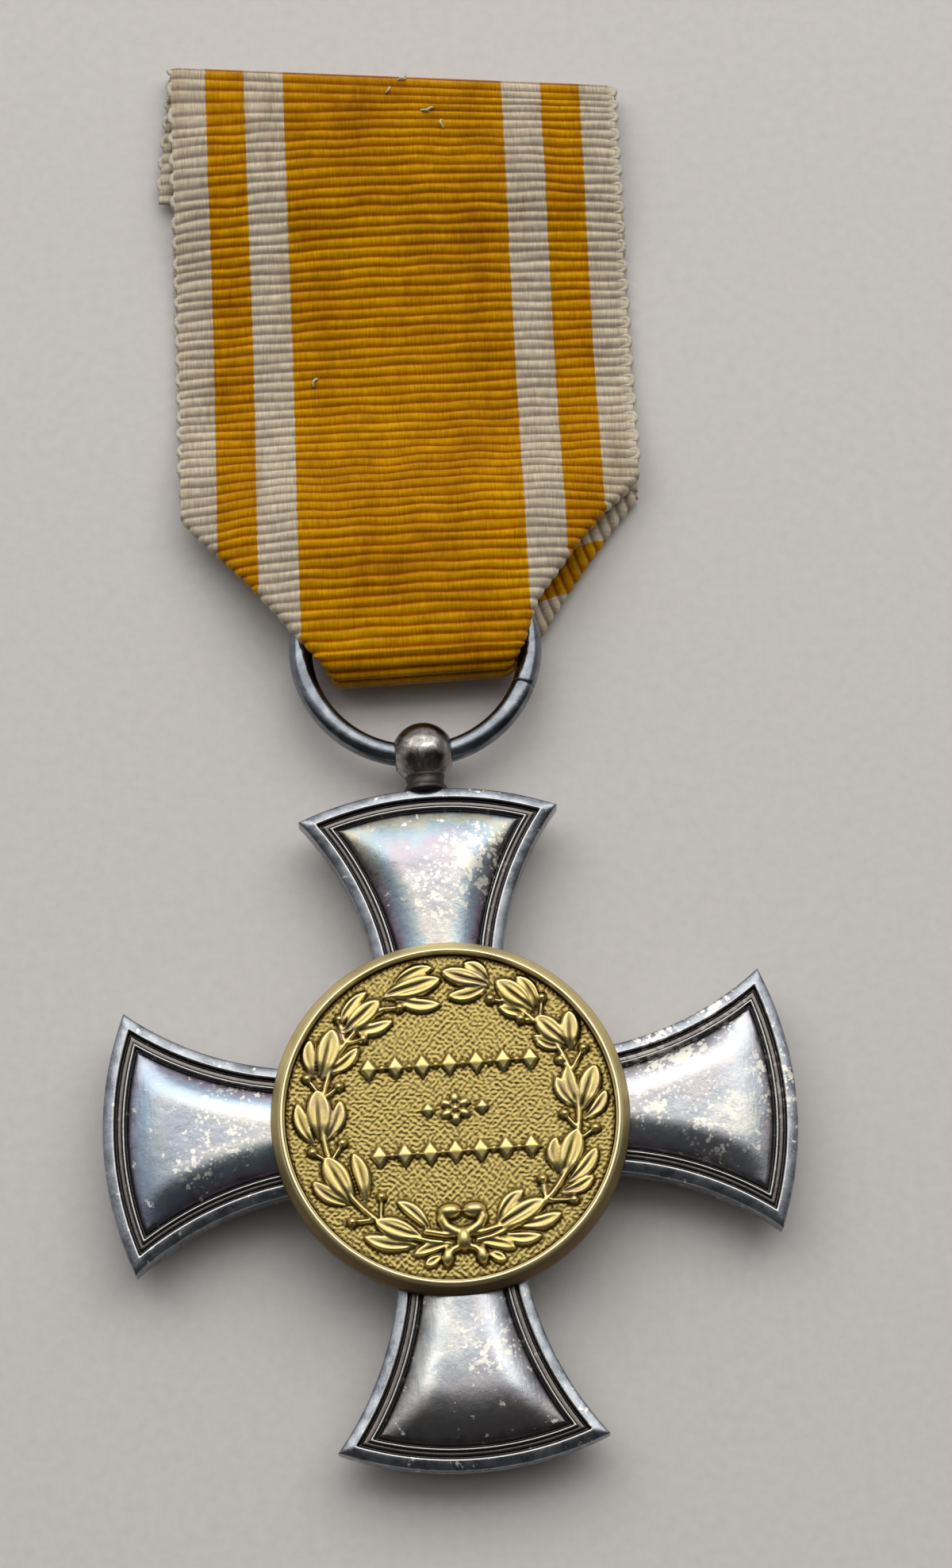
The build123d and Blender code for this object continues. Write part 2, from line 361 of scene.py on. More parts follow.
# the wreath's leaves as root, tip and half width, starting at the bottom of each branch
LEFT_LEAVES = (
    ((-2.0, -7.0), (-4.7, -5.8), 0.5), ((-2.4, -7.3), (-5.4, -6.65), 0.42),
    ((-1.6, -6.6), (-3.4, -4.75), 0.36), ((-5.85, -4.7), (-7.3, -1.95), 0.58),
    ((-6.0, -4.75), (-8.1, -3.3), 0.42), ((-5.2, -4.7), (-5.7, -1.8), 0.42),
    ((-7.45, -1.0), (-7.5, 2.0), 0.6), ((-7.85, -1.2), (-8.7, 1.3), 0.4),
    ((-7.2, -1.0), (-6.2, 1.3), 0.4), ((-7.2, 2.6), (-6.35, 5.5), 0.58),
    ((-7.6, 2.7), (-7.75, 5.0), 0.38), ((-7.0, 2.9), (-5.0, 4.3), 0.38), ((-5.85, 5.2), (-3.6, 7.0), 0.5),
    ((-5.5, 5.3), (-2.9, 5.75), 0.38), ((-6.1, 5.5), (-4.3, 7.6), 0.34), ((-3.5, 7.2), (0.0, 8.0), 0.5),
    ((-2.9, 7.7), (-0.4, 8.75), 0.4), ((-2.9, 7.1), (-0.1, 6.5), 0.4),
)
RIGHT_LEAVES = (
    ((1.9, -6.8), (5.0, -5.25), 0.5), ((2.2, -6.5), (3.8, -4.6), 0.4), ((3.2, -6.6), (5.9, -6.1), 0.4),
    ((2.2, -7.05), (4.7, -7.3), 0.36), ((6.1, -4.1), (7.2, -1.35), 0.56),
    ((5.9, -3.8), (5.9, -1.7), 0.38), ((6.35, -4.4), (8.2, -2.5), 0.42), ((5.9, -4.9), (7.9, -4.1), 0.36),
    ((7.5, -0.3), (8.5, 2.3), 0.52), ((7.4, 0.0), (6.9, 2.4), 0.44), ((7.3, -0.1), (6.2, 1.8), 0.36),
    ((7.6, -0.8), (9.0, 0.8), 0.36), ((7.1, 3.6), (5.3, 5.4), 0.52), ((7.2, 3.3), (7.25, 5.6), 0.46),
    ((6.9, 3.5), (5.1, 4.3), 0.34), ((5.3, 5.85), (3.2, 7.7), 0.56), ((5.5, 5.85), (4.4, 7.9), 0.4),
    ((5.3, 5.8), (3.2, 6.15), 0.36), ((2.8, 7.55), (0.1, 8.45), 0.46), ((2.8, 7.6), (1.4, 8.9), 0.4),
    ((2.8, 7.5), (0.35, 6.95), 0.4),
)
LEFT_BERRIES = (
    (-2.47, 6.5), (-6.0, 6.07), (-4.68, 4.8), (-8.06, 2.7), (-6.26, 2.1), (-7.99, -1.6), (-6.26, -1.2),
    (-4.24, -4.44), (-6.0, -5.76),
)
RIGHT_BERRIES = (
    (2.78, 6.63), (4.44, 5.34), (5.76, 6.5), (7.9, 3.35), (6.5, 2.76), (6.5, -0.4), (8.2, -1.35),
    (4.96, -4.07), (6.65, -5.4),
)
STEM_RADIUS = 7.35
MIDDLE_LEAF = 0.45            # a leaf wider than this is the middle one of its cluster, and lies flat
BOW_X = 0.25
LOZENGES = 7                  # in each row


def polar(radius, degrees):
    """A point at a radius and an angle from +X."""
    return np.array([radius * math.cos(math.radians(degrees)), radius * math.sin(math.radians(degrees))])


def branch(relief, side, leaves, berries):
    """One of the wreath's two branches; side is -1 for the left one."""
    turns = np.linspace(-82, 62, 30)
    relief.stroke([polar(STEM_RADIUS, turn) * (side, 1) for turn in turns], 0.17, 0.3)
    for leaf in leaves:
        root, tip, half = leaf
        if half > MIDDLE_LEAF:
            middle = leaf
            relief.leaf(root, tip, half, 0.5)
            continue
        lead = np.subtract(middle[1], middle[0])
        here = np.add(root, tip) / 2 - middle[0]
        turned = lead[0] * here[1] - lead[1] * here[0]
        relief.leaf(root, tip, 0.9 * half, 0.36, math.copysign(0.2, turned))
    for berry in berries:
        angle = math.degrees(math.atan2(berry[1], abs(berry[0])))
        knot = polar(STEM_RADIUS, angle - 7) * (side, 1)
        relief.stroke([knot, berry], 0.12, 0.28)
        relief.dome(berry, (0.29, 0.29), 0.46)


def half_bow(relief, side):
    """One loop of the bow and its tail."""

    def at(*points):
        return [(BOW_X + side * x, y) for x, y in points]

    loop = at((0.55, -5.5), (1.0, -5.6), (1.15, -6.0), (0.95, -6.4), (0.4, -6.75), (0.1, -6.8))
    relief.stroke(loop, 0.33, 0.44)
    relief.dome(*at((0.7, -5.55)), (0.7, 0.47), 0.58)
    relief.stroke(at((0, -6.9), (1.0, -6.85), (2.1, -6.6)), 0.2, 0.34)
    relief.dome(*at((0.98, -8.15)), (0.36, 0.6), 0.46, side * 0.15)
    relief.stroke(at((0, -7.5), (0.6, -7.7), (0.95, -8.0)), 0.24, 0.38)
    relief.leaf(*at((0.6, -7.35), (2.9, -7.9)), 0.3, 0.34, side * 0.12)
    relief.leaf(*at((1.3, -8.0), (2.3, -8.55)), 0.26, 0.3)


def bow(relief):
    """The bow that ties the two branches at the bottom."""
    half_bow(relief, -1)
    half_bow(relief, 1)
    relief.dome((BOW_X, -7.2), (0.46, 0.75), 0.62)


def ornaments(relief):
    """Two rows of lozenges and pellets with a rosette between them."""
    for row, step in ((3.0, 1.55), (-2.1, 1.45)):
        for k in range(LOZENGES):
            x = 0.15 + (k - (LOZENGES - 1) / 2) * step
            relief.lozenge((x, row), (0.52, 0.74), 0.3)
            if k:
                relief.dome((x - step / 2, row), (0.2, 0.2), 0.3)
    for petal in range(6):
        turn = petal * math.pi / 3 + math.pi / 6
        centre = (0.3 + 0.58 * math.cos(turn), 0.4 + 0.58 * math.sin(turn))
        relief.dome(centre, (0.36, 0.27), 0.27, turn)
    relief.dome((0.3, 0.4), (0.24, 0.24), 0.3)
    for side in (-1, 1):
        relief.lozenge((0.3 + side * 1.55, 0.4), (0.4, 0.5), 0.28)


def disc_points(radius, count):
    """A square grid spread over a disc with even cells."""
    a = np.linspace(-1, 1, count)
    u, v = np.meshgrid(a, a)
    big = np.abs(u) > np.abs(v)
    r = np.where(big, u, v)
    safe = np.where(r == 0, 1, r)
    turn = np.where(big, math.pi / 4 * v / safe, math.pi / 2 - math.pi / 4 * u / safe)
    return radius * r * np.cos(turn), radius * r * np.sin(turn)


def blurred(field, steps):
    """The field averaged over its neighbours a number of times."""
    for _ in range(steps):
        padded = np.pad(field, 1, mode="edge")
        field = (padded[:-2, 1:-1] + padded[2:, 1:-1] + padded[1:-1, :-2] + padded[1:-1, 2:]) / 4
    return field


def medallion(name, count, decorate, up):
    """A struck disc. up is 1 for the front and -1 for the back."""
    rim = FIELD_RADIUS - (BACK_STEP if up < 0 else 0)
    x, y = disc_points(rim - 0.01, count)
    relief = Relief(x, y)
    decorate(relief)
    shape = blurred(relief.height, 1)
    ground = 0.02 * np.tanh(1.8 * waves(x, y, 7, 0.26, 40)) + 0.006 * waves(x, y, 3, 0.9)
    covered = smoothstep(shape, 0.02, 0.1)
    height = shape + ground * (1 - covered)
    # how far each point lies below its neighbours; the gilding paints shade where this is positive and a
    # highlight where it is negative
    cavity = blurred(height, 8) - height
    edge = np.hypot(x, y)
    # painted shade along the edge of the field, where it meets the collar's wall
    cavity = cavity + 0.12 * smoothstep(edge, rim - 0.25, rim - 0.02)
    z = FIELD_TOP + height
    top = np.stack([x, y, z], -1).reshape(-1, 3)
    faces = grid_faces(count, count)
    loop = border_loop(count, count)
    base = top[loop].copy()
    base[:, 2] = RIM_TOP
    start = len(top)
    ring = len(loop)
    for k in range(ring):
        n = (k + 1) % ring
        faces.append([loop[n], loop[k], start + k, start + n])
    faces.append([start + k for k in range(ring)][::-1])
    obj = new_object(name, *facing(np.concatenate([top, base]), faces, up))
    add_values(obj, "cavity", np.concatenate([cavity.ravel(), np.zeros(ring)]))
    add_values(obj, "raised", np.concatenate([covered.ravel(), np.zeros(ring)]))
    return obj


def front_design(relief):
    """A wreath of two tied branches round the ornaments."""
    branch(relief, -1, LEFT_LEAVES, LEFT_BERRIES)
    branch(relief, 1, RIGHT_LEAVES, RIGHT_BERRIES)
    bow(relief)
    ornaments(relief)


def back_design(relief):
    """A plain disc with one fine ring near its edge: the back isn't known."""
    turns = np.linspace(0, 2 * math.pi, 97)
    relief.raise_to(0.02)
    relief.stroke(np.column_stack([7.9 * np.cos(turns), 7.9 * np.sin(turns)]), 0.1, 0.08)


# the collar's profile, as distance in from its edge and height
COLLAR = [
    (1.0, 3.5), (0.06, 3.5), (0.01, 3.53), (0.0, 3.6), (0.0, 4.2), (0.015, 4.26), (0.05, 4.31), (0.3, 4.62),
    (0.44, 4.79), (0.5, 4.84), (0.53, 4.85), (0.545, 4.9), (0.57, 4.98), (0.6, 5.0), (0.68, 5.0),
    (0.71, 4.97), (0.73, 4.84), (0.77, 4.8), (0.81, 4.79), (0.835, 4.74), (0.85, 4.5), (0.9, 4.42),
    (1.0, 4.4),
]


def bezel(name, up):
    """The turned collar round a medallion."""
    radius = BEZEL_RADIUS - (BACK_STEP if up < 0 else 0)
    verts, faces = lathe([(radius - inward, z) for inward, z in COLLAR], 256)
    return new_object(name, *facing(verts, flipped(faces), up))


# ---- ball, foot and ring ----

def laid_along(axis, centre, verts, faces):
    """A shape turned about Z, laid with that axis along X or Y."""
    x, y, z = verts.T
    laid = {"X": (z, x, y), "Y": (x, z, -y)}[axis]
    return np.column_stack(laid) + np.array(centre), faces


def ball():
    """The drilled ball, its bore along X."""
    mouth = math.asin(BORE_RADIUS / BALL_RADIUS) + 0.06
    arc = np.linspace(mouth, math.pi - mouth, 48)
    outside = [(BALL_RADIUS * math.sin(t), -BALL_RADIUS * math.cos(t)) for t in arc]
    reach = math.sqrt(BALL_RADIUS**2 - BORE_RADIUS**2)
    inside = [(BORE_RADIUS + 0.03, reach), (BORE_RADIUS, reach - 0.08)]
    inside += [(r, -z) for r, z in inside[::-1]]
    shape = laid_along("X", (0, BALL_Y, MID_PLANE), *lathe(outside + inside, 96))
    return new_object("suspension_ball_piece", *shape)


def foot():
    """The short neck under the ball, widest where it is soldered to the arm."""
    profile = [(0.01, -0.12), (1.24, -0.12), (1.3, 0.08), (1.26, 0.24), (1.13, 0.38)]
    profile += [(1.1, 0.6), (1.14, 0.85), (1.2, 1.0), (0.01, 1.1)]
    shape = laid_along("Y", (0, CROSS_RADIUS, MID_PLANE), *lathe(profile, 64))
    return new_object("suspension_foot_piece", *shape)


def from_ball(points):
    """Points given from the ball's centre in the ring's own plane, laid at the angle it lies at."""
    points = np.asarray(points, float)
    c, s = math.cos(LIE), math.sin(LIE)
    y = points[..., 1] * c + points[..., 2] * s
    z = -points[..., 1] * s + points[..., 2] * c
    return np.stack([points[..., 0], y + BALL_Y, z + MID_PLANE], -1)


def ring():
    """The ring of round wire, with a butt seam whose edges are eased."""
    gap = 0.02 / RING_RADIUS
    t = np.concatenate([[0.0, 0.0012, 0.003], np.linspace(0.006, 0.994, 236), [0.997, 0.9988, 1.0]])
    turn = SEAM_ANGLE + gap + t * (2 * math.pi - 2 * gap)
    x = RING_RADIUS * np.cos(turn)
    y = RING_RADIUS * np.sin(turn) + RING_RADIUS - WIRE_OFFSET
    thick = np.full(len(t), WIRE_RADIUS)
    thick[[0, -1]] = WIRE_RADIUS - 0.035
    thick[[1, -2]] = WIRE_RADIUS - 0.015
    verts, faces = tube(np.column_stack([x, y, np.zeros(len(t))]), thick, 28)
    return new_object("suspension_ring_piece", from_ball(verts), faces)


# ---- the ribbon ----

LOOP_LIFT = 1.47              # the ribbon's middle surface above and below the ring's plane
FOLD_REACH = 6.35             # centre of the bottom fold, from the ball
EDGE_RADIUS = 0.24            # how tightly the shoulders are folded under
WING = 2.4                    # how much of the folded part lies under the front
THIN, THICK = 0.1, 0.15       # half thickness between ribs, and what a rib adds
HALF_TURN = math.pi * EDGE_RADIUS   # the cloth that goes round a folded edge
FLAP_LEAN = 0.11              # how far the flap drifts sideways for each mm of its length


def catmull(points, per_span):
    """A smooth line through the points."""
    p = np.asarray(points, float)
    p = np.vstack([2 * p[0] - p[1], p, 2 * p[-1] - p[-2]])
    t = np.linspace(0, 1, per_span, endpoint=False)[:, None]
    spans = []
    for a, b, c, d in zip(p[:-3], p[1:-2], p[2:-1], p[3:]):
        bend = (2 * a - 5 * b + 4 * c - d) * t**2 + (3 * b - a - 3 * c + d) * t**3
        spans.append(0.5 * (2 * b + (c - a) * t + bend))
    return np.vstack(spans + [p[-2:-1]])


def loop_height(y, side):
    """Height of the front (side 1) or back (side -1) of the loop at y, as the ring lies."""
    return MID_PLANE - (y - BALL_Y) * math.tan(LIE) + side * LOOP_LIFT


def ribbon_line():
    """The ribbon's side view, from the end of its flap, over the top, down the front and up the back."""
    turns = np.linspace(0, math.pi, 19)
    fold = np.column_stack([FOLD_REACH - LOOP_LIFT * np.sin(turns), LOOP_LIFT * np.cos(turns)])
    bottom = from_ball(np.insert(fold, 0, 0, axis=1))[:, 1:]
    flap = [(59.2, 0.82), (61.5, 0.8), (64.5, 0.74), (67.5, 0.7)]
    top = [(67.86, 0.8), (67.98, 1.02), (67.84, 1.26)]
    front = [(67.0, 1.44), (65.0, 1.62), (62.4, 1.72), (60.2, 1.62), (58.0, 1.3), (55.5, 0.95)]
    front += [(52.0, 0.78), (48.0, 0.8), (45.2, 1.0), (43.0, 1.45), (41.0, 2.15), (39.2, 2.82)]
    front += [(37.4, 3.22), (35.2, loop_height(35.2, 1)), (32.0, loop_height(32.0, 1))]
    back = [(y, loop_height(y, -1)) for y in (31.5, 35.0, 38.0)]
    back += [(41.0, 0.27), (46.0, 0.25), (53.0, 0.25), (60.0, 0.25), (65.6, 0.27)]
    return catmull(flap + top + front + list(map(tuple, bottom)) + back, 12)


LINE = ribbon_line()
LINE_S = np.concatenate([[0], np.cumsum(np.linalg.norm(np.diff(LINE, axis=0), axis=1))])
LINE_LENGTH = float(LINE_S[-1])
TOP_S = float(LINE_S[np.argmax(LINE[:, 0])])
BOTTOM_S = float(LINE_S[np.argmin(LINE[:, 0])])


def on_line(s):
    """Place, and outward direction, of the ribbon's middle surface in side view at length s."""
    y, z = np.interp(s, LINE_S, LINE[:, 0]), np.interp(s, LINE_S, LINE[:, 1])
    h = 0.15
    dy = np.interp(s + h, LINE_S, LINE[:, 0]) - np.interp(s - h, LINE_S, LINE[:, 0])
    dz = np.interp(s + h, LINE_S, LINE[:, 1]) - np.interp(s - h, LINE_S, LINE[:, 1])
    size = np.hypot(dy, dz) + 1e-9
    return y, z, dz / size, -dy / size


def middle_x(y):
    """The ribbon leans a little to the right as it goes up."""
    return 0.42 + 0.028 * (y - 40.0)


# where the folded edges are, as (y, x) on the front and on the back
FRONT_LEFT = (
    (26.8, -4.2), (27.3, -4.9), (28.4, -5.8), (30.4, -7.35), (34.6, -10.45), (38.6, -13.6), (39.2, -14.2),
)
FRONT_RIGHT = (
    (26.8, 4.9), (27.3, 5.5), (28.4, 6.3), (31.3, 7.4), (34.8, 10.0), (37.8, 12.4), (39.5, 13.9),
    (40.3, 14.9),
)
BACK_LEFT = (
    (26.8, -4.2), (27.3, -4.8), (28.4, -5.3), (30.4, -6.4), (33.5, -8.8), (38.2, -12.3), (40.4, -13.9),
)
BACK_RIGHT = ((26.8, 4.9), (27.4, 5.7), (29.7, 7.2), (38.4, 13.9), (39.6, 15.0))


def edge_at(s, y, side):
    """x of the folded edge on a side, and far out where the ribbon isn't folded."""
    front, back = (FRONT_LEFT, BACK_LEFT) if side < 0 else (FRONT_RIGHT, BACK_RIGHT)
    front_x, back_x = (np.interp(y, *np.array(line).T) for line in (front, back))
    blend = smoothstep(s, BOTTOM_S - 1.5, BOTTOM_S + 1.5)
    x = front_x * (1 - blend) + back_x * blend
    return np.where(y > 40.5, side * 40.0, x)


def rib_shift(x, y):
    """How far up a rib is displaced at x: the ribs slope and bow a little, most near the top."""
    slope = 0.012 + 0.034 * smoothstep(y, 57, 65) + 0.016 * np.exp(-(((y - 42.5) / 3) ** 2))
    bow = 0.1 + 0.34 * np.exp(-(((y - 59) / 7.5) ** 2)) + 0.12 * np.exp(-(((y - 34) / 4) ** 2))
    uneven = 0.045 * waves(x * 0.8, y * 1.4, 21, 3.2)
    return -slope * (x - 0.8) + bow * (0.7 - ((x + 0.8) / 13.0) ** 2) + uneven


def top_slant(y):
    """How steeply the top of the ribbon falls to the right."""
    return 0.118 * smoothstep(y, 50.0, 66.0)


def settle(x, y, s):
    """How far the cloth sinks from the side view's line away from the middle."""
    front = hump(s, TOP_S + 1, TOP_S + 4, BOTTOM_S - 3, BOTTOM_S)
    out = np.abs(x - middle_x(y))
    sag = 0.95 * smoothstep(out, 7.5, 14.0) * hump(y, 29.5, 33.0, 38, 43)
    edge_drop = 0.075 * smoothstep(out, 9.0, 14.0) * hump(y, 42, 46, 52, 58)
    ripple = 0.05 * waves(x * 1.6, y * 0.5, 11, 7.0) + 0.05 * waves(x, y, 12, 9.0)
    return front * (sag + edge_drop + ripple)


def ribbon_rows(s_row):
    """Flat limit and full reach of the ribbon on each side, for each row."""
    y = np.interp(s_row, LINE_S, LINE[:, 0])
    folded_part = np.where(s_row > BOTTOM_S + 2.2, 0.0, HALF_TURN + WING)
    limits = []
    for side in (-1, 1):
        edge = np.abs(edge_at(s_row, y, side) - middle_x(y))
        flat = np.minimum(edge - EDGE_RADIUS, 13.3)
        full = np.minimum(HALF_WIDTH, edge - EDGE_RADIUS + folded_part)
        full = np.maximum(np.where(edge < HALF_WIDTH, full, HALF_WIDTH), flat + 0.05)
        limits.append((flat, full))
    return limits


def place(u, s):
    """Points of the ribbon's middle surface, and its normals, for strip coordinates u across and s along."""
    y_row = np.interp(s, LINE_S, LINE[:, 0])
    middle = middle_x(y_row)
    side = np.sign(u)
    edge = np.abs(np.where(side < 0, edge_at(s, y_row, -1), edge_at(s, y_row, 1)) - middle)
    beyond = np.abs(u) - (edge - EDGE_RADIUS)
    theta = np.clip(beyond / EDGE_RADIUS, 0, math.pi)
    over = np.maximum(beyond - HALF_TURN, 0)
    flat = np.minimum(np.abs(u), edge - EDGE_RADIUS)
    out = flat + EDGE_RADIUS * np.sin(theta) - over
    sink = EDGE_RADIUS * (1 - np.cos(theta))
    x = middle + side * out - FLAP_LEAN * np.maximum(TOP_S - s, 0)
    on_front = hump(s, TOP_S + 0.5, TOP_S + 4, BOTTOM_S - 4, BOTTOM_S - 0.5)
    s_true = s - on_front * (rib_shift(x, y_row) + top_slant(y_row) * (x - 1.0))
    y, z, ny, nz = on_line(s_true)
    sink = sink + settle(x, y, s_true)
    y = y - top_slant(y) * (x - 1.0)
    pos = np.stack([x, y - ny * sink, z - nz * sink], -1)
    cos_t, sin_t = np.cos(theta), np.sin(theta)
    normal = np.stack([side * sin_t, ny * cos_t, nz * cos_t], -1)
    return pos, normal


def rib_profile(s):
    """0 between ribs and 1 on a rib's crest."""
    return np.abs(np.sin(math.pi * s / RIB)) ** 1.2


def thick_sheet(pos, normal, half):
    """A closed sheet from its middle surface: both faces and the four edges between them."""
    rows, cols = pos.shape[:2]
    upper = (pos + normal * half[..., None]).reshape(-1, 3)
    lower = (pos - normal * half[..., None]).reshape(-1, 3)
    faces = grid_faces(rows, cols)
    faces += flipped(grid_faces(rows, cols, start=rows * cols))
    loop = border_loop(rows, cols)
    n = rows * cols
    for k, a in enumerate(loop):
        b = loop[(k + 1) % len(loop)]
        faces.append([b, a, a + n, b + n])
    return np.concatenate([upper, lower]), faces


def main_strip():
    """The whole length of ribbon, apart from what is folded inside the loop."""
    count = int(LINE_LENGTH / RIB * ROWS_PER_RIB)
    s_row = np.arange(1, count) * RIB / ROWS_PER_RIB
    (flat_l, full_l), (flat_r, full_r) = ribbon_rows(s_row)
    outer = 1 - (1 - np.linspace(0, 1, 14)[1:]) ** 1.15
    inner = np.linspace(-1, 1, 41)
    left = -(flat_l[:, None] + (full_l - flat_l)[:, None] * outer[None, ::-1])
    middle = np.where(inner[None] < 0, flat_l[:, None], flat_r[:, None]) * inner[None]
    right = flat_r[:, None] + (full_r - flat_r)[:, None] * outer[None]
    u = np.concatenate([left, middle, right], axis=1)
    s = np.broadcast_to(s_row[:, None], u.shape)
    pos, normal = place(u, s)
    half = (THIN + THICK * rib_profile(s)) * (1 - 0.45 * smoothstep(np.abs(u), 13.4, 14.0))
    verts, faces = thick_sheet(pos, normal, half)
    return verts, faces, np.tile(u.ravel(), 2), np.tile(s.ravel(), 2)


BACK_WING = ((14.25, 38.6), (7.45, 29.7))   # top and bottom of its fold line


def back_wing(top, bottom):
    """The right corner of the back layer, folded forward, so that its ribs stand across the others."""
    top, bottom = np.array(top), np.array(bottom)
    run = bottom - top
    length = float(np.hypot(*run))
    run = run / length
    out = np.array([-run[1], run[0]])
    steps = np.linspace(0, length, 100)
    depth = np.minimum(3.4, 0.15 + 0.9 * steps)
    round_edge = np.broadcast_to(np.linspace(0, HALF_TURN, 9), (len(steps), 9))
    past_edge = HALF_TURN + np.linspace(0, 1, 14)[None, 1:] * depth[:, None]
    t = np.concatenate([round_edge, past_edge], axis=1)
    theta = np.clip(t / EDGE_RADIUS, 0, math.pi)
    over = np.maximum(t - HALF_TURN, 0)
    hollow = 0.22 * np.sin(math.pi * steps / length)
    fold = top[None] + run[None] * steps[:, None] - out[None] * (EDGE_RADIUS + hollow)[:, None]
    plan = fold[:, None] + out * (EDGE_RADIUS * np.sin(theta) - over)[..., None]
    base = np.interp(plan[..., 1], [27, 38, 41], [loop_height(27, -1), loop_height(38, -1), 0.27])
    z = base + EDGE_RADIUS * (1 - np.cos(theta)) + 0.16 * smoothstep(over, 0, 2)
    pos = np.dstack([plan, z])
    normal = np.dstack([out[0] * np.sin(theta), out[1] * np.sin(theta), -np.cos(theta)])
    unfolded = fold[:, None] + out * t[..., None]
    u = unfolded[..., 0] - middle_x(unfolded[..., 1])
    s = BOTTOM_S + (unfolded[..., 1] - 27.0)
    verts, faces = thick_sheet(pos, normal, THIN + THICK * rib_profile(s))
    return verts, faces, np.tile(u.ravel(), 2), np.tile(s.ravel(), 2)


def ribbon():
    """The ribbon's cloth, with each point's place across and along the flat ribbon."""
    strips = [main_strip(), back_wing(*BACK_WING)]
    obj = new_object("ribbon_cloth", *join([strip[:2] for strip in strips]))
    add_values(obj, "across", np.concatenate([s[2] for s in strips]))
    add_values(obj, "along", np.concatenate([s[3] for s in strips]))
    return obj


def selvedge():
    """The weft turns round the edge from each rib to the next, in a row of small rounded loops."""
    parts = []
    pitch = 2 * RIB
    for side in (-1, 1):
        for k in range(1, int(LINE_LENGTH / pitch) - 1):
            s0 = (k + (0.25 if side > 0 else 0.0)) * pitch
            y = float(np.interp(s0, LINE_S, LINE[:, 0]))
            if y < 40.6 and s0 > TOP_S:
                continue
            turns = np.linspace(-0.5, 0.5, 9) * math.pi
            reach = np.concatenate([[-0.55], 0.24 * np.cos(turns), [-0.55]])
            s = s0 + np.concatenate([[-0.5], 0.5 * np.sin(turns), [0.5]]) * RIB
            base, _ = place(np.full(len(s), side * (HALF_WIDTH - 0.05)), s)
            path = base + np.column_stack([side * (reach - 0.1), 0 * s, 0 * s])
            thick = 0.17 * np.array([0.5, 0.9, 1, 1, 1, 1, 1, 1, 1, 0.9, 0.5])
            parts.append(tube(path, thick, 8))
    return new_object("ribbon_selvedge", *join(parts))


# the thread ends: x, y, heading in degrees, length
THREADS = (
    (1.9, 67.5, 80.0, 0.95),
    (1.8, 66.9, 200.0, 0.5),
    (0.9, 66.0, 60.0, 0.45),
    (3.3, 64.4, 10.0, 0.7),
    (3.1, 64.3, 150.0, 0.45),
    (4.1, 63.3, 95.0, 0.6),
    (-5.0, 46.3, 70.0, 0.6),
)


def threads():
    """Ends of old sewing thread left in the ribbon."""
    parts = []
    for index, (x, y, heading, length) in enumerate(THREADS):
        s = TOP_S + (67.3 - y)
        base, _ = place(np.array([x - middle_x(y)]), np.array([s]))
        foot_point = base[0] + np.array([0, 0, THIN + THICK])
        d = polar(length, heading)
        t = np.linspace(0, 1, 9)
        curl = 0.12 * np.sin(t * 5 + index)
        x_path = foot_point[0] + d[0] * (t - 0.5) - curl * d[1]
        y_path = foot_point[1] + d[1] * (t - 0.5) + curl * d[0]
        z_path = foot_point[2] - 0.05 + 0.22 * np.sin(math.pi * t)
        parts.append(tube(np.column_stack([x_path, y_path, z_path]), 0.075, 7))
    return new_object("thread_ends", *join(parts))


# ---- materials ----

